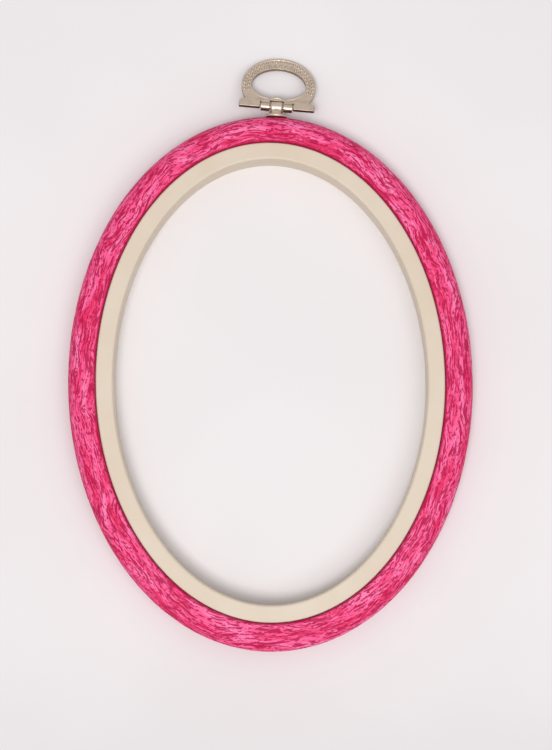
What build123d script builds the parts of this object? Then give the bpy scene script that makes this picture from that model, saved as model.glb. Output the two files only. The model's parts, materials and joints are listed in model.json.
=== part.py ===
from build123d import *
import os
from math import asin, atan2, cos, degrees, hypot, radians, sin

# Oval flexible embroidery hoop, lying on its back with its hanger towards +Y. A rigid plastic ring
# carries the cloth on its outer wall, and a soft vinyl ring is pressed down round it, on to a lip.
# A metal bail hangs from an eye stud that passes through the vinyl.
# Millimetres and degrees. The origin is the centre of the opening, on the plane the hoop lies on.

# Rigid ring: a moulded channel, open at the back, with a lip under the vinyl.
seat_width = 101.3  # across its outer wall, which holds the cloth
seat_length = 139.9
face_width = 5.0  # the flat band that shows from the front
rigid_height = 9.5
rigid_wall = 1.5
lip_reach = 3.0
lip_height = 1.2
rigid_inner_edge = 0.6
rigid_outer_edge = 0.4
rigid_small_edge = 0.3
grip_groove_height = 3.0
grip_groove_depth = 0.45

# Soft ring: a D section, flat towards the cloth and round outside.
ring_gap = 0.15  # for sliding off; the soft ring gives to make room for the cloth
vinyl_width = 8.3  # from the rigid ring's outer wall to the outside of the hoop
vinyl_height = 9.3
vinyl_top_edge = 1.0
vinyl_bottom_edge = 0.5
grip_ridge_height = 2.4
grip_ridge_reach = 0.1

# Eye stud: a shank clinched inside the vinyl, a neck and a barrel-shaped eye.
hanger_turn = 2.4  # how far round the oval the vinyl has crept from the top, as an ellipse angle
shank_radius = 1.2
shank_clearance = 0.05
collar_radius = 3.2
collar_thickness = 0.9
collar_edge = 0.35
collar_bedding = 0.2  # how deep the collar sits in the vinyl's crest
turning_clearance = 0.03  # under the collar and the washer, so that the stud turns
washer_radius = 2.9
washer_thickness = 0.6
clinch_flange = 0.7  # how far the clinched end spreads beyond the shank
clinch_thickness = 0.7
clinch_edge = 0.25
pocket_depth = 1.6
pocket_clearance = 0.2
neck_length = 2.35  # from the collar to the hinge line
neck_foot_radius = 2.1
neck_top_radius = 1.45
eye_wall = 0.9
eye_width = 3.6
eye_edge = 0.6

# Bail: a stamped half ring with turned-down edges, on two curled knuckles.
pin_radius = 0.6
pin_clearance = 0.03
pin_end_edge = 0.2
pin_slack_in_eye = 0.25
bail_play = 2.6  # how far the bail leans in that slack, in degrees
floor_clearance = 0.02
bail_length = 16.75  # from the hinge line to the top of the arch
arch_half_width = 11.0
arch_centre = 7.1  # from the hinge line to the widest part of the arch
arch_band_top = 3.6
arch_band_side = 2.9
opening_foot = 2.7  # from the hinge line to the lower edge of the opening
bail_thickness = 1.2
bail_sheet = 0.6
foot_overhang = 0.25  # past the widest part of the arch
foot_length = 2.05
foot_drop = 0.5
foot_tip_height = 1.5
foot_root_height = 2.3
foot_corner = 0.35
hump_wall = 1.4
knuckle_wall = 0.62
knuckle_length = 2.6
knuckle_gap = 0.25
slit_width = 0.3
slit_height = 1.6
rim_width = 0.5
rim_height = 0.2
bead_radius = 0.3
outer_bead_count = 27
inner_bead_count = 21
bead_row_shares = (0.29, 0.70)  # across the band, from the opening to the outside
bead_first_angle = -12.0
cut_overrun = 1.0

# Places that follow from those sizes.
seat_half_width = seat_width / 2
seat_half_length = seat_length / 2
vinyl_base = lip_height
vinyl_top = vinyl_base + vinyl_height
vinyl_middle = vinyl_base + vinyl_height / 2
dome_radius = vinyl_height / 2
collar_seat = vinyl_width - collar_bedding
collar_top = collar_seat + collar_thickness
pocket_floor = ring_gap + pocket_depth
washer_seat = pocket_floor - turning_clearance - washer_thickness
clinch_seat = washer_seat - clinch_thickness
eye_hole_radius = pin_radius + pin_slack_in_eye
eye_radius = eye_hole_radius + eye_wall
hinge_reach = collar_top + neck_length
knuckle_radius = pin_radius + pin_clearance + knuckle_wall
knuckle_start = eye_width / 2 + knuckle_gap
knuckle_end = knuckle_start + knuckle_length
slot_top = eye_radius + knuckle_gap
hump_radius = slot_top + hump_wall
foot_half_width = arch_half_width + foot_overhang
foot_root_half_width = foot_half_width - foot_length
arch_rise = bail_length - arch_centre
opening_half_width = arch_half_width - arch_band_side
opening_rise = arch_rise - arch_band_top
opening_fall = arch_centre - opening_foot

# The stud stands square to the oval where the vinyl has crept to.
turn = radians(hanger_turn)
stud_root = Vector(seat_half_width * sin(turn), seat_half_length * cos(turn), vinyl_middle)
stud_out = Vector(seat_half_length * sin(turn), seat_half_width * cos(turn), 0).normalized()
stud_along = Vector(stud_out.Y, -stud_out.X, 0)
hinge_centre = stud_root + stud_out * hinge_reach
stud_plane = Plane(origin=stud_root, x_dir=stud_along, z_dir=stud_out)

# The bail lies back until the top of its arch meets the surface that the hoop lies on.
bail_reach = hypot(bail_length, bail_thickness / 2)
bail_droop = asin((vinyl_middle - floor_clearance) / bail_reach) - atan2(bail_thickness / 2, bail_length)
hinge_along = stud_along.rotate(Axis.Z, -bail_play)
bail_up = Vector(-hinge_along.Y, hinge_along.X, 0) * cos(bail_droop) - Vector(0, 0, sin(bail_droop))
bail_plane = Plane(origin=hinge_centre, x_dir=hinge_along, z_dir=hinge_along.cross(bail_up))


def corners_near(sketch, *places):
    """The corner of a sketch that lies nearest to each place."""
    return [sketch.vertices().sort_by_distance((x, y, 0))[0] for x, y in places]


def swept_round_the_seat(section):
    """A section, drawn outwards and upwards from the seat's wall, carried once round the oval."""
    path = Edge.make_ellipse(seat_half_width, seat_half_length)
    outward = (path @ 0).normalized()
    start = Plane(origin=path @ 0, x_dir=outward, z_dir=outward.cross(Vector(0, 0, 1)))
    return sweep(start * section, path=path)


def upright(width, height, left, bottom):
    """A rectangle with its lower left corner at a place."""
    return Pos(left, bottom) * Rectangle(width, height, align=(Align.MIN, Align.MIN))


def band_above(level, half_width, height):
    """A rectangle centred on the upright axis, standing on a level."""
    return upright(2 * half_width, height, -half_width, level)


def above():
    """Alignment of a round piece that stands on its place."""
    return (Align.CENTER, Align.CENTER, Align.MIN)


def inner_ring():
    # The section starts below the back, and the back is then cut flat.
    below = -cut_overrun
    band = upright(face_width, rigid_height - below, -face_width, below)
    band += upright(lip_reach, lip_height - below, 0, below)
    band -= Pos(0, vinyl_middle) * Ellipse(grip_groove_depth, grip_groove_height / 2)
    inner_top = corners_near(band, (-face_width, rigid_height))
    band = fillet(inner_top, rigid_inner_edge)
    outer_top = corners_near(band, (0, rigid_height))
    band = fillet(outer_top, rigid_outer_edge)
    lip_top = corners_near(band, (lip_reach, lip_height))
    band = fillet(lip_top, rigid_small_edge)
    channel_width = face_width - 2 * rigid_wall
    channel_height = rigid_height - rigid_wall - below
    band -= upright(channel_width, channel_height, rigid_wall - face_width, below)
    ring = swept_round_the_seat(band)
    ring -= extrude(Rectangle(2 * seat_width, 2 * seat_length), 2 * below)
    back_edges = ring.edges().group_by(Axis.Z)[0].sort_by(SortBy.LENGTH)
    return fillet([back_edges[0], back_edges[-1]], rigid_small_edge)


def outer_ring():
    section = upright(vinyl_width - dome_radius, vinyl_height, 0, vinyl_base)
    section += Pos(vinyl_width - dome_radius, vinyl_middle) * Circle(dome_radius)
    section &= upright(vinyl_width, vinyl_height, ring_gap, vinyl_base)
    top = corners_near(section, (ring_gap, vinyl_top))
    section = fillet(top, vinyl_top_edge)
    foot = corners_near(section, (ring_gap, vinyl_base))
    section = fillet(foot, vinyl_bottom_edge)
    section += Pos(ring_gap, vinyl_middle) * Ellipse(grip_ridge_reach, grip_ridge_height / 2)
    ring = swept_round_the_seat(section)

    hole = Cylinder(shank_radius + shank_clearance, vinyl_width + cut_overrun, align=above())
    pocket_height = pocket_floor + cut_overrun
    pocket = Cylinder(washer_radius + pocket_clearance, pocket_height, align=above())
    pocket = Pos(0, 0, -cut_overrun) * pocket
    spot_face = Cylinder(collar_radius + pocket_clearance, vinyl_width, align=above())
    spot_face = Pos(0, 0, collar_seat - turning_clearance) * spot_face
    return ring - stud_plane * (hole + pocket + spot_face)


def eye_stud():
    clinch = Cylinder(shank_radius + clinch_flange, clinch_thickness, align=above())
    clinch = Pos(0, 0, clinch_seat) * clinch
    clinch = fillet(clinch.edges().sort_by(Axis.Z)[0], clinch_edge)
    shank = Pos(0, 0, clinch_seat) * Cylinder(shank_radius, collar_top - clinch_seat, align=above())
    neck_height = hinge_reach - collar_top
    neck = Pos(0, 0, collar_top) * Cone(neck_foot_radius, neck_top_radius, neck_height, align=above())
    eye = Rot(0, 90, 0) * Cylinder(eye_radius, eye_width)
    eye = fillet(eye.edges().filter_by(GeomType.CIRCLE), eye_edge)
    hole = Rot(0, 90, 0) * Cylinder(eye_hole_radius, eye_width + cut_overrun)
    stud = clinch + shank + neck + Pos(0, 0, hinge_reach) * eye - Pos(0, 0, hinge_reach) * hole
    return stud_plane * stud


def stud_collar():
    collar = Cylinder(collar_radius, collar_thickness, align=above())
    collar = fillet(collar.edges().sort_by(Axis.Z)[-1], collar_edge)
    collar -= Cylinder(shank_radius + shank_clearance, collar_thickness, align=above())
    return stud_plane * Pos(0, 0, collar_seat) * collar


def clinch_washer():
    washer = Cylinder(washer_radius, washer_thickness, align=above())
    washer -= Cylinder(shank_radius + shank_clearance, washer_thickness, align=above())
    return stud_plane * Pos(0, 0, washer_seat) * washer


def hinge_pin():
    pin = Rot(0, 90, 0) * Cylinder(pin_radius, 2 * knuckle_end)
    pin = fillet(pin.edges().filter_by(GeomType.CIRCLE), pin_end_edge)
    return bail_plane * pin


def bail_outline(inset):
    """The outside of the bail, drawn in from its edge by the inset."""
    arch = Pos(0, arch_centre) * Ellipse(arch_half_width - inset, arch_rise - inset)
    arch &= band_above(inset - foot_drop, arch_half_width, bail_length + foot_drop)
    half = foot_half_width - inset
    bottom = inset - foot_drop
    root = (foot_root_half_width, foot_root_height - inset)
    tip_height = foot_tip_height - inset
    foot = Polyline((-half, bottom), (half, bottom), (half, tip_height), root,
                    (-root[0], root[1]), (-half, tip_height), close=True)
    return arch + make_face(foot)


def bail_opening(grown):
    """The finger-sized opening, grown by an amount all round, with a hump over the eye."""
    half_width = opening_half_width + grown
    above_centre = band_above(arch_centre, arch_half_width, bail_length)
    below_centre = band_above(-cut_overrun, arch_half_width, arch_centre + cut_overrun)
    crown = Pos(0, arch_centre) * Ellipse(half_width, opening_rise + grown) & above_centre
    sump = Pos(0, arch_centre) * Ellipse(half_width, opening_fall + grown) & below_centre
    return crown + sump - Circle(hump_radius - grown)


def bead_places():
    """Where the beads of both rows stand on the arch."""
    counts = (inner_bead_count, outer_bead_count)
    for share, count in zip(bead_row_shares, counts):
        half_width = opening_half_width + arch_band_side * share
        rise = opening_rise + arch_band_top * share
        span = 180 - 2 * bead_first_angle
        for n in range(count):
            angle = radians(bead_first_angle + span * n / (count - 1))
            yield half_width * cos(angle), arch_centre + rise * sin(angle)


def hanger_bail():
    face = bail_thickness / 2
    cut_start = -foot_drop - cut_overrun
    slot = band_above(cut_start, knuckle_start, slot_top - cut_start)
    slit = upright(slit_width, slit_height - cut_start, knuckle_end, cut_start)
    openings = slot + slit + mirror(slit, about=Plane.YZ)
    outline = bail_outline(0) - bail_opening(0)
    tips = corners_near(outline, (-foot_half_width, -foot_drop), (foot_half_width, -foot_drop),
                        (-foot_half_width, foot_tip_height), (foot_half_width, foot_tip_height))
    outline = fillet(tips, foot_corner)
    plate = extrude(outline - openings, face, both=True)

    # Stamping leaves the back hollow behind the turned-down edges, and the front sunk inside a rim.
    hollow_depth = bail_thickness - bail_sheet
    arch_only = band_above(foot_root_height, arch_half_width, bail_length)
    hollow = (bail_outline(bail_sheet) - bail_opening(bail_sheet)) & arch_only
    plate -= Pos(0, 0, -face) * extrude(hollow, hollow_depth)
    sunk = (bail_outline(rim_width) - bail_opening(rim_width)) & arch_only
    plate -= Pos(0, 0, face - rim_height) * extrude(sunk, rim_height)
    beads = [Pos(x, y, face - rim_height) * Sphere(bead_radius) for x, y in bead_places()]
    bead_band = Pos(0, 0, face - rim_height) * extrude(bail_outline(0) - bail_opening(0), bead_radius)
    plate += [bead & bead_band for bead in beads]

    for side in (-1, 1):
        middle = side * (knuckle_start + knuckle_end) / 2
        plate += Pos(middle, 0, 0) * Rot(0, 90, 0) * Cylinder(knuckle_radius, knuckle_length)
    plate -= Rot(0, 90, 0) * Cylinder(pin_radius + pin_clearance, 2 * (knuckle_end + slit_width))
    return bail_plane * plate


pieces = {
    "inner_ring": inner_ring,
    "outer_ring": outer_ring,
    "eye_stud": eye_stud,
    "stud_collar": stud_collar,
    "clinch_washer": clinch_washer,
    "hinge_pin": hinge_pin,
    "hanger_bail": hanger_bail,
}

os.makedirs("parts", exist_ok=True)
for name, make in pieces.items():
    shape = make()
    export_step(shape, f"parts/{name}.step")
    print(name, "solids", len(shape.solids()), "volume", round(shape.volume, 1))

places = {
    "hinge centre": hinge_centre,
    "hinge axis": hinge_along,
    "stud axis": stud_out,
    "stud root": stud_root,
    "bail up": bail_up,
    "bail front": bail_plane.z_dir,
}
for name, place in places.items():
    print(name, [round(value, 6) for value in place])
print("bail lies back by", round(degrees(bail_droop), 3), "degrees")
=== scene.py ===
import json
import math
import random

import bpy
from mathutils import Matrix, Vector, noise


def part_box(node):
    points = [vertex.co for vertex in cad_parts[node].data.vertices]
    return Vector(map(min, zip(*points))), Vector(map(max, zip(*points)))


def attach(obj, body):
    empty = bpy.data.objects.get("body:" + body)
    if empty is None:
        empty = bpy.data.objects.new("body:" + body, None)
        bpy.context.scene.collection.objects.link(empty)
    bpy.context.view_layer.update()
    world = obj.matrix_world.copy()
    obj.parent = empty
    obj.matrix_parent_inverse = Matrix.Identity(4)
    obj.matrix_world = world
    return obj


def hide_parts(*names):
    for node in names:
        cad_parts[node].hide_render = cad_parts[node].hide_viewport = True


# Oval press-on embroidery hoop, lying face up with its hanger towards +Y.
# The soft ring, the hanger, its stud and the collar are modelled here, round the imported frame.

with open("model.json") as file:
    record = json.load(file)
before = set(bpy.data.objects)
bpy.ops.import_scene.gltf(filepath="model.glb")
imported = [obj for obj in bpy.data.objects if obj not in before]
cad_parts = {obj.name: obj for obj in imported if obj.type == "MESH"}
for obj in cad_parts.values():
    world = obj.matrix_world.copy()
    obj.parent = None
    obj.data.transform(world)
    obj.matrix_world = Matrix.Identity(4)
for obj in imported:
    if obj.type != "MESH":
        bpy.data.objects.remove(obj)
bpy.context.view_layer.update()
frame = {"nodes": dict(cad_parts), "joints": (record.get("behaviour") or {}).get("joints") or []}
nodes = frame["nodes"]
joints = {joint["name"]: joint for joint in frame["joints"]}
mm = 0.001
print("frame loaded:", len(nodes), "solids")


# Moves that every piece uses

def pick(*things):
    bpy.ops.object.select_all(action="DESELECT")
    for thing in things:
        thing.select_set(True)
    bpy.context.view_layer.objects.active = things[0]


def settle(thing):  # its place goes into its mesh
    pick(thing)
    bpy.ops.object.transform_apply(location=True, rotation=True, scale=True)


def applyModifier(thing, kind, **settings):
    modifier = thing.modifiers.new(kind.lower(), kind)
    for name, value in settings.items():
        setattr(modifier, name, value)
    pick(thing)
    bpy.ops.object.modifier_apply(modifier=modifier.name)


def openAt(thing, chosen, edges=False):  # edit mode with only the chosen vertices, or edges, selected
    pick(thing)
    bpy.ops.object.mode_set(mode="EDIT")
    bpy.ops.mesh.select_mode(type="EDGE" if edges else "VERT")
    bpy.ops.mesh.select_all(action="DESELECT")
    bpy.ops.object.mode_set(mode="OBJECT")
    spots = thing.data.vertices
    if edges:
        for edge in thing.data.edges:
            edge.select = chosen(*(spots[n].co for n in edge.vertices))
    else:
        for spot in spots:
            spot.select = chosen(spot.co)
    bpy.ops.object.mode_set(mode="EDIT")


def close():
    bpy.ops.object.mode_set(mode="OBJECT")


def joinAll(name, things):
    pick(*things)
    bpy.ops.object.join()
    things[0].name = name
    return things[0]


def combine(thing, other, operation="DIFFERENCE"):
    applyModifier(thing, "BOOLEAN", object=other, operation=operation, solver="MANIFOLD")
    bpy.data.objects.remove(other)


def rod(radius, depth, place=(0, 0, 0), turn=(0, 0, 0), topRadius=None, sides=96):
    bpy.ops.mesh.primitive_cone_add(vertices=sides, radius1=radius, radius2=topRadius or radius,
                                    depth=depth, location=place, rotation=turn)
    settle(bpy.context.object)
    return bpy.context.object


def block(left, right, bottom, top, low, high):
    middle = ((left + right) / 2, (bottom + top) / 2, (low + high) / 2)
    bpy.ops.mesh.primitive_cube_add(size=1, location=middle)
    cube = bpy.context.object
    cube.scale = (right - left, top - bottom, high - low)
    settle(cube)
    return cube


def finish(thing, material):
    thing.data.materials.clear()
    thing.data.materials.append(material)


# Node trees, written from left to right

def node(tree, kind, inputs=None, **settings):
    made = tree.nodes.new(kind)
    for name, value in settings.items():
        setattr(made, name, value)
    for name, value in (inputs or {}).items():
        if isinstance(value, bpy.types.NodeSocket):
            tree.links.new(value, made.inputs[name])
        else:
            made.inputs[name].default_value = value
    return made


def noiseOf(tree, place, scale, detail=2.0, roughness=0.5):
    inputs = {"Vector": place, "Scale": scale, "Detail": detail, "Roughness": roughness}
    return node(tree, "ShaderNodeTexNoise", inputs).outputs[0]


def step(tree, value, low, high, start=0.0, end=1.0):  # a soft step from start to end
    inputs = {"Value": value, "From Min": low, "From Max": high, "To Min": start, "To Max": end}
    made = node(tree, "ShaderNodeMapRange", inputs, interpolation_type="SMOOTHSTEP")
    return made.outputs["Result"]


def sums(tree, operation, first, second):
    return node(tree, "ShaderNodeMath", {0: first, 1: second}, operation=operation).outputs[0]


def blend(tree, share, first, second):
    return node(tree, "ShaderNodeMix", {0: share, 6: first, 7: second}, data_type="RGBA").outputs[2]


def bump(tree, height, distance, strength):
    inputs = {"Height": height, "Distance": distance, "Strength": strength}
    return node(tree, "ShaderNodeBump", inputs).outputs[0]


def newMaterial(name):
    material = bpy.data.materials.new(name)
    material.use_nodes = True
    tree = material.node_tree
    tree.nodes.clear()
    shader = node(tree, "ShaderNodeBsdfPrincipled")
    node(tree, "ShaderNodeOutputMaterial", {"Surface": shader.outputs[0]})
    return material, tree, shader


def feed(tree, shader, **sockets):  # Base_Color=... goes into "Base Color"
    for name, socket in sockets.items():
        tree.links.new(socket, shader.inputs[name.replace("_", " ")])


# Soft ring: a D section drawn flat, carried round the oval, then given its wood grain

vinyl = {
    "reach": 8.3 * mm,  # from the rigid ring's wall to the outside
    "gap": 0.05 * mm,
    "domeShare": 0.9999,  # the two quarters may not quite meet, or the bevel stops
    "topEdge": 1.0 * mm,
    "bottomEdge": 0.5 * mm,
    "atCorner": 0.001 * mm,  # how near a point counts as that corner
    "onRun": 0.002 * mm,  # how near a point counts as on a straight run
    "domeSteps": 29,  # in each quarter of the round outside
    "topEdgeSteps": 5,
    "bottomEdgeSteps": 3,
    "topCuts": 9,
    "bottomCuts": 5,
    "wallCuts": 6,
    "stepsPerQuarter": 225,
    "collarSeat": 8.07 * mm,  # just clear of the collar, so that it turns
    "dentStart": 3.3 * mm,  # the collar presses the crest flat as far as this
    "dentEnd": 4.4 * mm,
    "pocketDepth": 1.75 * mm,  # behind the clinched end of the stud
    "pocketRadius": 3.1 * mm,
    "holeRadius": 1.25 * mm,
    "cutterPast": 2 * mm,  # the drills run out of the ring by this much
}

grain = {
    "seed": 11,
    "depth": 0.09 * mm,
    "alongShare": 0.15,  # how much slower the grain changes along the ring than across it
    "sways": ((0.07, 2.4), (0.19, 0.8)),  # per mm, mm
    "knots": 16,
    "knotAside": (0.1, 0.9),  # place within its own share of the oval
    "knotLevel": (0.25, 0.8),  # place across the section
    "knotLength": (5.0, 11.0),
    "knotWidth": (1.8, 3.4),
    "knotPush": 2.2,
    "knotStrength": (0.5, 1.0),
    "knotFade": 3,  # lengths away from which a knot is no longer felt
    "noiseDetail": 1.0,
    "fibreScale": 1.7,
    "fibreEdge": (0.54, 0.59),
    "fibreShare": 0.9,
    "poreScale": 2.5,
    "poreAlong": 2.2,  # times as short as a fibre for its width
    "poreEdge": (0.56, 0.61),
    "poreShare": 0.9,
    "innerEdgeShade": 1.0 * mm,  # how far from that wall the painted shade of the inner edge reaches
    "ringPitch": 3.4,
    "ringWander": 0.55,
    "ringSway": 5.0,
    "ringEdge": (0.60, 1.0),
    "ringBreakScale": 1.2,
    "ringBreakEdge": (0.50, 0.58),
}


def ringSection(low, high):
    reach, gap, height = vinyl["reach"], vinyl["gap"], high.z - low.z
    bpy.ops.mesh.primitive_plane_add(size=1, location=((gap + reach) / 2, low.z + height / 2, 0))
    section = bpy.context.object
    section.scale = (reach - gap, height, 1)
    settle(section)
    dome = height / 2 * vinyl["domeShare"]
    corners = [((reach, high.z), dome, "domeSteps"), ((reach, low.z), dome, "domeSteps"),
               ((gap, high.z), vinyl["topEdge"], "topEdgeSteps"),
               ((gap, low.z), vinyl["bottomEdge"], "bottomEdgeSteps")]
    for (x, y), radius, steps in corners:
        openAt(section, lambda spot: math.hypot(spot.x - x, spot.y - y) < vinyl["atCorner"])
        bpy.ops.mesh.bevel(affect="VERTICES", offset=radius, segments=vinyl[steps])
        close()
    slack = vinyl["onRun"]
    flat = reach - dome + slack
    runs = [("topCuts", lambda spot: spot.y > high.z - slack and spot.x < flat),
            ("bottomCuts", lambda spot: spot.y < low.z + slack and spot.x < flat),
            ("wallCuts", lambda spot: spot.x < gap + slack)]
    for cuts, onRun in runs:
        openAt(section, onRun)
        bpy.ops.mesh.subdivide(number_cuts=vinyl[cuts])
        close()
    openAt(section, lambda spot: True)
    bpy.ops.mesh.delete(type="ONLY_FACE")
    close()
    bpy.ops.object.convert(target="CURVE")
    return bpy.context.object


def carriedRound(section, halfWidth, halfLength):
    bpy.ops.curve.primitive_bezier_circle_add(radius=1)
    path = bpy.context.object
    path.scale = (halfWidth, halfLength, 1)
    settle(path)
    for point in path.data.splines[0].bezier_points:
        point.radius = 1
    bpy.ops.object.mode_set(mode="EDIT")
    bpy.ops.curve.select_all(action="SELECT")
    bpy.ops.curve.switch_direction()  # so that the section's outside faces away from the middle
    close()
    path.data.resolution_u = vinyl["stepsPerQuarter"]
    path.data.twist_mode = "Z_UP"
    path.data.bevel_mode = "OBJECT"
    path.data.bevel_object = section
    bpy.ops.object.convert(target="MESH")
    ring = bpy.context.object
    openAt(ring, lambda spot: True)
    bpy.ops.mesh.normals_make_consistent(inside=False)
    close()
    return ring


def knotList(halfWidth, halfLength, around):
    draw = random.Random(grain["seed"])
    knots = []
    for count in range(grain["knots"]):
        angle = (count + draw.uniform(*grain["knotAside"])) / grain["knots"] * math.tau
        centre = Vector((halfWidth * math.cos(angle), halfLength * math.sin(angle), 0))
        level = around * draw.uniform(*grain["knotLevel"])
        length = draw.uniform(*grain["knotLength"]) * mm
        width = draw.uniform(*grain["knotWidth"]) * mm
        push = draw.uniform(*grain["knotStrength"]) * grain["knotPush"] * draw.choice((-1, 1))
        knots.append((centre, level, length, width, push))
    return knots


def layGrain(ring, section, halfWidth, halfLength):
    # Each point of the skin gets its place in the wood: slow ways along the ring, a quick one across it.
    points = [point.co.to_3d() for point in section.data.splines[0].points]
    foot = Vector((vinyl["gap"], 0, 0))
    start = min(range(len(points)), key=lambda n: (points[n] - foot).length)
    levels = {start: 0.0}
    around = 0.0
    for count in range(1, len(points)):
        here, last = (start + count) % len(points), (start + count - 1) % len(points)
        around += (points[here] - points[last]).length
        levels[here] = around
    knots = knotList(halfWidth, halfLength, around)
    ring.data.attributes.new("grainFlow", "FLOAT_VECTOR", "POINT")
    ring.data.attributes.new("innerEdgeShade", "FLOAT", "POINT")  # painted shade of the inner edge: 1 at the wall towards the cloth
    flow = ring.data.attributes["grainFlow"]
    innerEdgeShade = ring.data.attributes["innerEdgeShade"]
    slow = grain["alongShare"] / mm
    for n, spot in enumerate(ring.data.vertices):
        place = n % len(points)
        across = levels[place]
        innerEdgeShade.data[n].value = max(0.0, 1 - (points[place].x - vinyl["gap"]) / grain["innerEdgeShade"])
        sway = sum(noise.noise(spot.co / mm * scale) * width for scale, width in grain["sways"])
        for centre, level, length, width, push in knots:
            away = math.hypot(spot.co.x - centre.x, spot.co.y - centre.y) / length
            if away < grain["knotFade"]:
                off = (across - level) / width
                sway += push * math.exp(-away * away - off * off)
        flow.data[n].vector = (spot.co.x * slow, spot.co.y * slow, across / mm + sway)


def grainGroove(tree, flow):  # 1 at the bottom of a groove, 0 on the skin between grooves
    detail = grain["noiseDetail"]
    fibre = step(tree, noiseOf(tree, flow, grain["fibreScale"]), *grain["fibreEdge"])
    short = node(tree, "ShaderNodeVectorMath", {0: flow, 1: (grain["poreAlong"], grain["poreAlong"], 1)},
                 operation="MULTIPLY").outputs[0]
    pore = step(tree, noiseOf(tree, short, grain["poreScale"], detail), *grain["poreEdge"])
    place = node(tree, "ShaderNodeSeparateXYZ", {0: flow}).outputs[2]
    wander = sums(tree, "MULTIPLY", noiseOf(tree, flow, grain["ringWander"], detail), grain["ringSway"])
    level = sums(tree, "ADD", sums(tree, "MULTIPLY", place, grain["ringPitch"]), wander)
    wave = sums(tree, "SINE", level, 0.0)
    broken = step(tree, noiseOf(tree, flow, grain["ringBreakScale"], detail), *grain["ringBreakEdge"])
    ring = sums(tree, "MULTIPLY", step(tree, wave, *grain["ringEdge"]), broken)
    deepest = sums(tree, "MAXIMUM", sums(tree, "MULTIPLY", fibre, grain["fibreShare"]), ring)
    return sums(tree, "MAXIMUM", deepest, sums(tree, "MULTIPLY", pore, grain["poreShare"]))


def pressGrain(ring):
    tree = bpy.data.node_groups.new("grainRelief", "GeometryNodeTree")
    tree.interface.new_socket("Geometry", in_out="INPUT", socket_type="NodeSocketGeometry")
    tree.interface.new_socket("Geometry", in_out="OUTPUT", socket_type="NodeSocketGeometry")
    skin = node(tree, "NodeGroupInput").outputs[0]
    flow = node(tree, "GeometryNodeInputNamedAttribute", {"Name": "grainFlow"}, data_type="FLOAT_VECTOR")
    depth = sums(tree, "MULTIPLY", grainGroove(tree, flow.outputs[0]), -grain["depth"])
    outward = node(tree, "GeometryNodeInputNormal").outputs[0]
    offset = node(tree, "ShaderNodeVectorMath", {0: outward, "Scale": depth}, operation="SCALE")
    moved = node(tree, "GeometryNodeSetPosition", {"Geometry": skin, "Offset": offset.outputs[0]})
    node(tree, "NodeGroupOutput", {0: moved.outputs[0]})
    applyModifier(ring, "NODES", node_group=tree)


def fitStud(ring, foot, outward):  # the crest is dented under the collar, and the back is pocketed
    dentStart, dentEnd = vinyl["dentStart"], vinyl["dentEnd"]
    for spot in ring.data.vertices:
        reach = (spot.co - foot).dot(outward)
        away = (spot.co - foot - outward * reach).length
        if reach > vinyl["collarSeat"] and away < dentEnd:
            share = max(0.0, (away - dentStart) / (dentEnd - dentStart))
            share = share * share * (3 - 2 * share)  # so that the dent ends without a crease
            spot.co -= outward * (reach - vinyl["collarSeat"]) * (1 - share)
    turn = outward.to_track_quat("Z", "Y").to_euler()
    past = vinyl["cutterPast"]
    for radius, start, end in ((vinyl["pocketRadius"], -past, vinyl["pocketDepth"]),
                               (vinyl["holeRadius"], 0, vinyl["reach"] + past)):
        combine(ring, rod(radius, end - start, foot + outward * (start + end) / 2, turn))


def softRing():
    low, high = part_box("outer_ring")
    halfWidth, halfLength = high.x - vinyl["reach"], high.y - vinyl["reach"]
    section = ringSection(low, high)
    ring = carriedRound(section, halfWidth, halfLength)
    ring.name = "vinyl_ring"
    layGrain(ring, section, halfWidth, halfLength)
    bpy.data.objects.remove(section)
    pressGrain(ring)
    swivel = joints["stud_swivel"]
    fitStud(ring, Vector(swivel["pos_m"]), Vector(swivel["axis"]).normalized())
    pick(ring)
    bpy.ops.object.shade_smooth()
    return ring


def vinylMaterial():
    look = {
        "light": (0.96, 0.215, 0.440, 1),
        "middle": (0.91, 0.096, 0.270, 1),
        "deep": (0.80, 0.032, 0.137, 1),
        "groove": (0.46, 0.003, 0.060, 1),
        "tone": (0.45, 3.0, 0.6),  # noise: scale, detail, roughness
        "streak": (1.2, 3.0, 0.6),
        "deepToMiddle": (0.38, 0.50),
        "middleToLight": (0.50, 0.66),
        "streakEdge": (0.53, 0.70, 0.0, 0.85),
        "innerEdgeShadeEdge": (0.1, 1.0),
        "pebbleScale": 5200.0,
        "pebbleShare": 0.25,
        "relief": (0.05 * mm, 0.5),  # bump: distance, strength
        "sheen": (0.3, 0.7, 0.5, 0.64),  # from tone to roughness
        "specular": 0.15,
    }
    material, tree, shader = newMaterial("pinkVinyl")
    flow = node(tree, "ShaderNodeAttribute", attribute_name="grainFlow").outputs["Vector"]
    tone = noiseOf(tree, flow, *look["tone"])
    colour = blend(tree, step(tree, tone, *look["deepToMiddle"]), look["deep"], look["middle"])
    colour = blend(tree, step(tree, tone, *look["middleToLight"]), colour, look["light"])
    streak = step(tree, noiseOf(tree, flow, *look["streak"]), *look["streakEdge"])
    colour = blend(tree, streak, colour, look["light"])
    groove = grainGroove(tree, flow)
    innerEdgeShade = node(tree, "ShaderNodeAttribute", attribute_name="innerEdgeShade").outputs["Fac"]
    # painted shade along the inner edge, in the groove's colour
    colour = blend(tree, step(tree, innerEdgeShade, *look["innerEdgeShadeEdge"]), colour, look["groove"])
    colour = blend(tree, groove, colour, look["groove"])
    pebble = noiseOf(tree, node(tree, "ShaderNodeTexCoord").outputs["Object"], look["pebbleScale"])
    height = sums(tree, "SUBTRACT", sums(tree, "MULTIPLY", pebble, look["pebbleShare"]), groove)
    feed(tree, shader, Base_Color=colour, Roughness=step(tree, tone, *look["sheen"]),
         Normal=bump(tree, height, *look["relief"]))
    shader.inputs["Specular IOR Level"].default_value = look["specular"]
    return material


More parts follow.
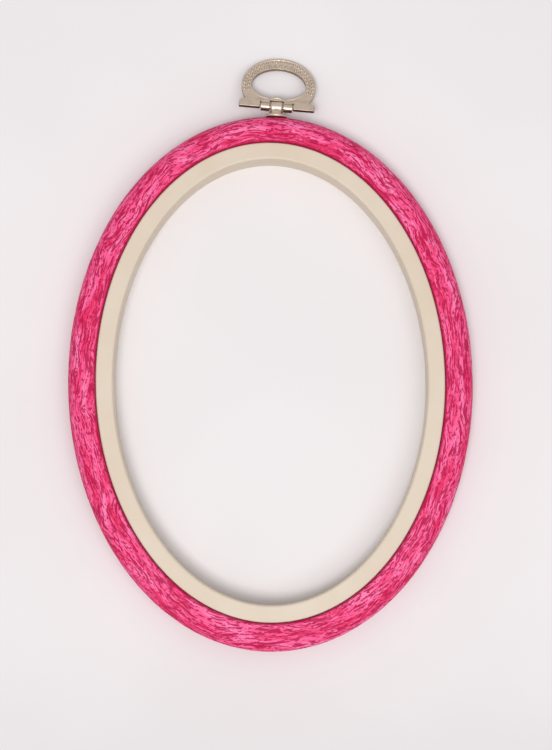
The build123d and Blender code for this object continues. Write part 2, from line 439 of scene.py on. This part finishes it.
# Rigid ring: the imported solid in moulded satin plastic

def creamMaterial():
    look = {
        "body": (0.669, 0.559, 0.435, 1),
        "pale": (0.695, 0.591, 0.477, 1),
        "cloud": (60.0, 4.0, 0.6),  # noise: scale, detail, roughness
        "cloudEdge": (0.35, 0.65),
        "satin": (2600.0, 3.0, 0.6),
        "sheen": (0.3, 0.7, 0.38, 0.5),  # from satin to roughness
        "relief": (0.01 * mm, 0.35),  # bump: distance, strength
    }
    material, tree, shader = newMaterial("creamPlastic")
    place = node(tree, "ShaderNodeTexCoord").outputs["Object"]
    cloud = step(tree, noiseOf(tree, place, *look["cloud"]), *look["cloudEdge"])
    satin = noiseOf(tree, place, *look["satin"])
    feed(tree, shader, Base_Color=blend(tree, cloud, look["body"], look["pale"]),
         Roughness=step(tree, satin, *look["sheen"]), Normal=bump(tree, satin, *look["relief"]))
    return material


# Hanger: modelled flat in millimetres with its hinge line on X, then set at its hinge

lying = (0, math.pi / 2, 0)  # turns a rod on to the hinge line

bail = {
    "length": 16.75,  # from the hinge line to the top of the arch
    "ovalSides": 192,
    "halfWidth": 11.0,
    "centre": 7.1,
    "bandTop": 3.6,
    "bandSide": 2.9,
    "openingFoot": 2.7,
    "thickness": 1.2,
    "hollowWall": 0.6,
    "hollowDepth": 0.6,
    "rimWidth": 0.5,
    "rimHeight": 0.12,
    "footOverhang": 0.25,
    "footLength": 2.05,
    "footDrop": 0.5,
    "footTip": 1.5,
    "footRoot": 2.3,
    "footCorner": 0.35,
    "footCornerSteps": 5,
    "near": 0.01,  # how near a point counts as on an edge of the feet
    "hump": 3.4,
    "slotHalf": 2.05,
    "slotTop": 2.0,
    "knuckleLength": 2.6,
    "knuckleRadius": 1.25,
    "boreRadius": 0.63,
    "slit": 0.3,
    "slitTop": 1.6,
    "past": 1.0,  # the cutters run out of the plate as far as this
    "pastFoot": -2.0,  # and below its foot down to here
    "bead": 0.34,
    "beadFineness": 3,
    "beadRows": ((0.29, 21), (0.70, 27)),  # share of the band's width, count
    "beadStart": -12,  # degrees
    "voxel": 0.09,
    "easing": 2,
}


def archBlock(halfWidth, rise, fall, low, high):  # an oval prism, widest at the arch's centre
    middle = Vector((0, bail["centre"], (low + high) / 2))
    oval = rod(1, high - low, middle, sides=bail["ovalSides"])
    openAt(oval, lambda spot: True)
    bpy.ops.transform.resize(value=(halfWidth, rise, 1), center_override=middle)
    close()
    openAt(oval, lambda spot: spot.y < bail["centre"])
    bpy.ops.transform.resize(value=(1, fall / rise, 1), center_override=middle)
    close()
    return oval


def keepAbove(thing, level):
    openAt(thing, lambda spot: True)
    bpy.ops.mesh.bisect(plane_co=(0, level, 0), plane_no=(0, 1, 0), use_fill=True, clear_inner=True)
    close()
    return thing


def archBody(inset, level, low, high):
    rise = bail["length"] - bail["centre"] - inset
    return keepAbove(archBlock(bail["halfWidth"] - inset, rise, rise, low, high), level)


def openingBlock(grown, low, high):  # with a hump over the eye
    halfWidth = bail["halfWidth"] - bail["bandSide"] + grown
    rise = bail["length"] - bail["centre"] - bail["bandTop"] + grown
    opening = archBlock(halfWidth, rise, bail["centre"] - bail["openingFoot"] + grown, low, high)
    depth = 4 * (high - low)  # well out of the opening at both ends
    combine(opening, rod(bail["hump"] - grown, depth, (0, 0, (low + high) / 2)))
    return opening


def bailFeet(face):
    root = bail["halfWidth"] + bail["footOverhang"] - bail["footLength"]
    near = bail["near"]
    feet = block(-root, root, -bail["footDrop"], bail["footRoot"], -face, face)
    for side in (-1, 1):
        openAt(feet, lambda spot: spot.x * side > root - near)
        outwards = (side * bail["footLength"], 0, 0)
        bpy.ops.mesh.extrude_region_move(TRANSFORM_OT_translate={"value": outwards})
        close()
    openAt(feet, lambda spot: abs(spot.x) > root + near and spot.y > bail["footTip"])
    bpy.ops.transform.translate(value=(0, bail["footTip"] - bail["footRoot"], 0))
    close()
    openAt(feet, lambda one, two: abs(one.x) > root + near and (one - two).to_2d().length < near,
           edges=True)
    bpy.ops.mesh.bevel(affect="EDGES", offset=bail["footCorner"], segments=bail["footCornerSteps"])
    close()
    return feet


def sunkPanel(inset, low, high):  # what is taken away between the edges of the arch
    panel = archBody(inset, bail["footRoot"], low, high)
    combine(panel, openingBlock(inset, low - bail["past"], high + bail["past"]))
    return panel


def beads(level):
    made = []
    for share, count in bail["beadRows"]:
        halfWidth = bail["halfWidth"] - bail["bandSide"] * (1 - share)
        rise = bail["length"] - bail["centre"] - bail["bandTop"] * (1 - share)
        for n in range(count):
            turn = math.radians(bail["beadStart"] + (180 - 2 * bail["beadStart"]) * n / (count - 1))
            place = (halfWidth * math.cos(turn), bail["centre"] + rise * math.sin(turn), level)
            bpy.ops.mesh.primitive_ico_sphere_add(subdivisions=bail["beadFineness"],
                                                  radius=bail["bead"], location=place)
            made.append(bpy.context.object)
    return made


def cast(thing, voxel, rounds, pull=0.5):  # one skin over all that was joined, with its edges eased
    applyModifier(thing, "REMESH", mode="VOXEL", voxel_size=voxel)
    applyModifier(thing, "SMOOTH", factor=pull, iterations=rounds)


def setMetal(thing, across, up, origin):  # from flat millimetres to its place in metres
    turned = Matrix((across, up, across.cross(up))).transposed().to_4x4()
    thing.matrix_world = Matrix.Translation(origin) @ turned @ Matrix.Scale(mm, 4)
    settle(thing)
    pick(thing)
    bpy.ops.object.shade_smooth()


def hanger():
    face, past, foot = bail["thickness"] / 2, bail["past"], bail["pastFoot"]
    plate = archBody(0, -bail["footDrop"], -face, face)
    combine(plate, bailFeet(face), "UNION")
    combine(plate, openingBlock(0, -past, past))
    knuckleEnd = bail["slotHalf"] + bail["knuckleLength"]
    combine(plate, block(-bail["slotHalf"], bail["slotHalf"], foot, bail["slotTop"], -past, past))
    for side in (-1, 1):
        ends = sorted((side * knuckleEnd, side * (knuckleEnd + bail["slit"])))
        combine(plate, block(*ends, foot, bail["slitTop"], -past, past))
    combine(plate, sunkPanel(bail["rimWidth"], face - bail["rimHeight"], past))
    combine(plate, sunkPanel(bail["hollowWall"], -past, bail["hollowDepth"] - face))
    places = [side * (bail["slotHalf"] + bail["knuckleLength"] / 2) for side in (-1, 1)]
    knuckles = [rod(bail["knuckleRadius"], bail["knuckleLength"], (x, 0, 0), lying) for x in places]
    body = joinAll("hanger", [plate] + knuckles + beads(face - bail["rimHeight"]))
    cast(body, bail["voxel"], bail["easing"])
    combine(body, rod(bail["boreRadius"], 2 * knuckleEnd + bail["slit"], turn=lying))
    # 1 on walls, 0 on the flat of the plate; the nickel's painted shade follows it
    steep = body.data.attributes.new("steep", "FLOAT", "POINT")
    for n, spot in enumerate(body.data.vertices):
        steep.data[n].value = 1 - abs(spot.normal.z)
    hinge = joints["hanger_swing"]
    across = Vector(hinge["axis"]).normalized()
    droop = math.radians(sum(hinge["range_deg"]) / 2)
    up = Vector((-across.y, across.x, 0)) * math.cos(droop) - Vector((0, 0, math.sin(droop)))
    setMetal(body, across, up, Vector(hinge["pos_m"]))
    return body


# Eye stud and its collar, in millimetres along the shank

stud = {
    "clinchStart": 0.45,
    "clinchDepth": 0.7,
    "clinchRadius": 1.9,
    "shankRadius": 1.2,
    "collarSeat": 8.1,
    "collarTop": 9.0,
    "collarRadius": 3.2,
    "collarEdge": 0.35,
    "collarEdgeSteps": 6,
    "collarSlack": 0.05,  # round the shank
    "past": 1.0,  # its drill runs out as far as this
    "neckFoot": 2.1,
    "neckTop": 1.45,
    "eyeCentre": 11.35,
    "eyeRadius": 1.75,
    "eyeWidth": 3.6,
    "eyeEdge": 0.6,
    "eyeEdgeSteps": 5,
    "sharp": math.radians(60),  # edges turning by more are rounded
    "boreRadius": 0.85,
    "voxel": 0.07,
    "easing": 3,
}


def setOnShank(thing):
    swivel = joints["stud_swivel"]
    outward = Vector(swivel["axis"]).normalized()
    across = Vector((outward.y, -outward.x, 0))
    setMetal(thing, across, outward.cross(across), Vector(swivel["pos_m"]))


def lathed(radius, start, end, topRadius=None):
    return rod(radius, end - start, (0, 0, (start + end) / 2), topRadius=topRadius)


def eyeStud():
    clinchEnd = stud["clinchStart"] + stud["clinchDepth"]
    clinch = lathed(stud["clinchRadius"], stud["clinchStart"], clinchEnd)
    shank = lathed(stud["shankRadius"], stud["clinchStart"], stud["collarTop"])
    neck = lathed(stud["neckFoot"], stud["collarTop"], stud["eyeCentre"], stud["neckTop"])
    eye = rod(stud["eyeRadius"], stud["eyeWidth"], (0, 0, stud["eyeCentre"]), lying)
    applyModifier(eye, "BEVEL", width=stud["eyeEdge"], segments=stud["eyeEdgeSteps"],
                  angle_limit=stud["sharp"])
    body = joinAll("stud", [clinch, shank, neck, eye])
    cast(body, stud["voxel"], stud["easing"])
    combine(body, rod(stud["boreRadius"], 2 * stud["eyeWidth"], (0, 0, stud["eyeCentre"]), lying))
    setOnShank(body)
    return body


def studCollar():
    collar = lathed(stud["collarRadius"], stud["collarSeat"], stud["collarTop"])
    applyModifier(collar, "BEVEL", width=stud["collarEdge"], segments=stud["collarEdgeSteps"],
                  angle_limit=stud["sharp"])
    combine(collar, lathed(stud["shankRadius"] + stud["collarSlack"], stud["collarSeat"] - stud["past"],
                           stud["collarTop"] + stud["past"]))
    collar.name = "collar"
    setOnShank(collar)
    return collar


def nickelMaterial():
    look = {
        "plate": (0.59, 0.495, 0.395, 1),
        "dull": (0.50, 0.415, 0.33, 1),
        "paintedWallShade": (0.20, 0.145, 0.11, 1),  # painted shade and dark reflection on the bail's cut walls and round its beads
        "paintedWallShadeEdge": (0.03, 0.45),
        "paintedWallShadeShare": 0.8,
        "wear": (420.0, 4.0, 0.6),  # noise: scale, detail, roughness
        "wearEdge": (0.4, 0.7),
        "sheen": (0.3, 0.7, 0.30, 0.44),  # from wear to roughness
        "hair": (2400.0, 2.0, 0.6),
        "relief": (0.01 * mm, 0.3),  # bump: distance, strength
    }
    material, tree, shader = newMaterial("nickelPlate")
    place = node(tree, "ShaderNodeTexCoord").outputs["Object"]
    wear = noiseOf(tree, place, *look["wear"])
    hair = noiseOf(tree, place, *look["hair"])
    steep = node(tree, "ShaderNodeAttribute", attribute_name="steep").outputs["Fac"]
    # painted shade and reflection: the steeper the surface, the darker
    paintedWallShade = step(tree, steep, *look["paintedWallShadeEdge"], 0.0, look["paintedWallShadeShare"])
    colour = blend(tree, step(tree, wear, *look["wearEdge"]), look["plate"], look["dull"])
    feed(tree, shader, Base_Color=blend(tree, paintedWallShade, colour, look["paintedWallShade"]),
         Roughness=step(tree, wear, *look["sheen"]), Normal=bump(tree, hair, *look["relief"]))
    shader.inputs["Metallic"].default_value = 1.0
    return material


print("modelling the soft ring")
vinylRing = softRing()
finish(vinylRing, vinylMaterial())
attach(vinylRing, "soft_ring")
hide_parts("outer_ring")

print("finishing the rigid ring")
finish(nodes["inner_ring"], creamMaterial())

print("modelling the hanger, the stud and its collar")
nickel = nickelMaterial()
for piece, body, solid in ((hanger(), "hanger", "hanger_bail"), (eyeStud(), "stud", "eye_stud"),
                           (studCollar(), "stud", "stud_collar")):
    finish(piece, nickel)
    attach(piece, body)
    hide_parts(solid)
    print(piece.name, len(piece.data.polygons), "faces")
for solid in ("clinch_washer", "hinge_pin"):
    finish(nodes[solid], nickel)


# Floor, light and camera

studio = {
    "floorSize": 3.0,
    "floorDrop": 0.05 * mm,  # clear of the hoop's flat back
    "floorColour": (0.80, 0.765, 0.770, 1),
    "floorPaler": 1.03,
    "floorCloud": (14.0, 3.0),  # noise: scale, detail
    "floorCloudEdge": (0.35, 0.65),
    "floorPaintedShade": (-125 * mm, -60 * mm, 0.92, 1.0),  # painted shade, darker towards -Y: from Y to Y, the floor's share of its colour
    "floorRoughness": 0.9,
    "floorSpecular": 0.1,
    "skyLow": (0.20, 0.20, 0.20, 1),
    "skyHigh": (0.58, 0.58, 0.585, 1),
    "skyRise": (0.0, 0.75),  # height of the view direction where the sky starts and stops to brighten
    "backdrop": (0.86, 0.83, 0.83, 1),
    "lamps": (((-0.39, -0.81, 2.70), 0.98, 31.5),  # place, width, power
              ((0.75, -0.99, 2.40), 1.8, 18.0)),
}


def floorMaterial():
    material, tree, shader = newMaterial("paleFloor")
    place = node(tree, "ShaderNodeTexCoord").outputs["Object"]
    cloud = step(tree, noiseOf(tree, place, *studio["floorCloud"]), *studio["floorCloudEdge"])
    paler = tuple(min(1.0, value * studio["floorPaler"]) for value in studio["floorColour"])
    colour = blend(tree, cloud, studio["floorColour"], paler)
    away = node(tree, "ShaderNodeSeparateXYZ", {0: place}).outputs[1]
    black = (0, 0, 0, 1)
    # painted shade: the floor goes darker towards -Y
    share = step(tree, away, *studio["floorPaintedShade"])
    feed(tree, shader, Base_Color=blend(tree, share, black, colour))
    shader.inputs["Roughness"].default_value = studio["floorRoughness"]
    shader.inputs["Specular IOR Level"].default_value = studio["floorSpecular"]
    return material


def layFloor():
    bpy.ops.mesh.primitive_plane_add(size=studio["floorSize"], location=(0, 0, -studio["floorDrop"]))
    floor = bpy.context.object
    floor.name = "floor"
    finish(floor, floorMaterial())


def hangLights():
    world = bpy.data.worlds.new("studio")
    bpy.context.scene.world = world
    world.use_nodes = True
    tree = world.node_tree
    tree.nodes.clear()
    facing = node(tree, "ShaderNodeTexCoord").outputs["Generated"]
    height = node(tree, "ShaderNodeSeparateXYZ", {0: facing}).outputs[2]
    sky = blend(tree, step(tree, height, *studio["skyRise"]), studio["skyLow"], studio["skyHigh"])
    dome = node(tree, "ShaderNodeBackground", {"Color": sky})
    backdrop = node(tree, "ShaderNodeBackground", {"Color": studio["backdrop"]})
    ray = node(tree, "ShaderNodeLightPath").outputs
    seen = ray["Is Camera Ray"]
    for kind in ("Is Glossy Ray", "Is Transmission Ray"):  # metal shows the backdrop too
        seen = sums(tree, "MAXIMUM", seen, ray[kind])
    mixed = node(tree, "ShaderNodeMixShader", {0: seen, 1: dome.outputs[0], 2: backdrop.outputs[0]})
    node(tree, "ShaderNodeOutputWorld", {"Surface": mixed.outputs[0]})
    for place, size, power in studio["lamps"]:
        bpy.ops.object.light_add(type="AREA", location=place)
        lamp = bpy.context.object
        lamp.data.size = size
        lamp.data.energy = power
        lamp.rotation_euler = Vector(place).to_track_quat("Z", "Y").to_euler()


view = {
    "distance": 550 * mm,
    "elevation": 84.0,  # degrees above the floor, from the foot of the hoop
    "roll": 0.7,  # the hoop's top leans left
    "pixel": mm / 3.4258,  # at the height below
    "pixelHeight": 5 * mm,
    "picture": (552, 750),
    "hoopPixel": (270.4, 380.7),  # where the middle of the soft ring shows
    "hoopHeight": 5.85 * mm,
    "nearest": 10 * mm,  # nothing closer to the camera is drawn
}


def placeCamera():
    bpy.ops.object.camera_add()
    camera = bpy.context.object
    bpy.context.scene.camera = camera
    elevation, roll = math.radians(view["elevation"]), math.radians(view["roll"])
    back = Vector((0, -math.cos(elevation), math.sin(elevation)))
    right = Vector((1, 0, 0))
    up = back.cross(right)
    right, up = (right * math.cos(roll) - up * math.sin(roll),
                 up * math.cos(roll) + right * math.sin(roll))
    width, height = view["picture"]
    aside = (width / 2 - view["hoopPixel"][0]) * view["pixel"]
    above = (view["hoopPixel"][1] - height / 2) * view["pixel"]
    target = Vector((0, 0, view["hoopHeight"])) + right * aside + up * above
    camera.matrix_world = (Matrix.Translation(target + back * view["distance"])
                           @ Matrix((right, up, back)).transposed().to_4x4())
    camera.data.sensor_fit = "VERTICAL"
    reach = view["distance"] - (view["pixelHeight"] - view["hoopHeight"]) * back.z
    camera.data.lens = reach / view["pixel"] / height * camera.data.sensor_height
    camera.data.clip_start = view["nearest"]


print("setting the studio")
layFloor()
hangLights()
placeCamera()
bpy.context.scene.view_settings.view_transform = "Standard"
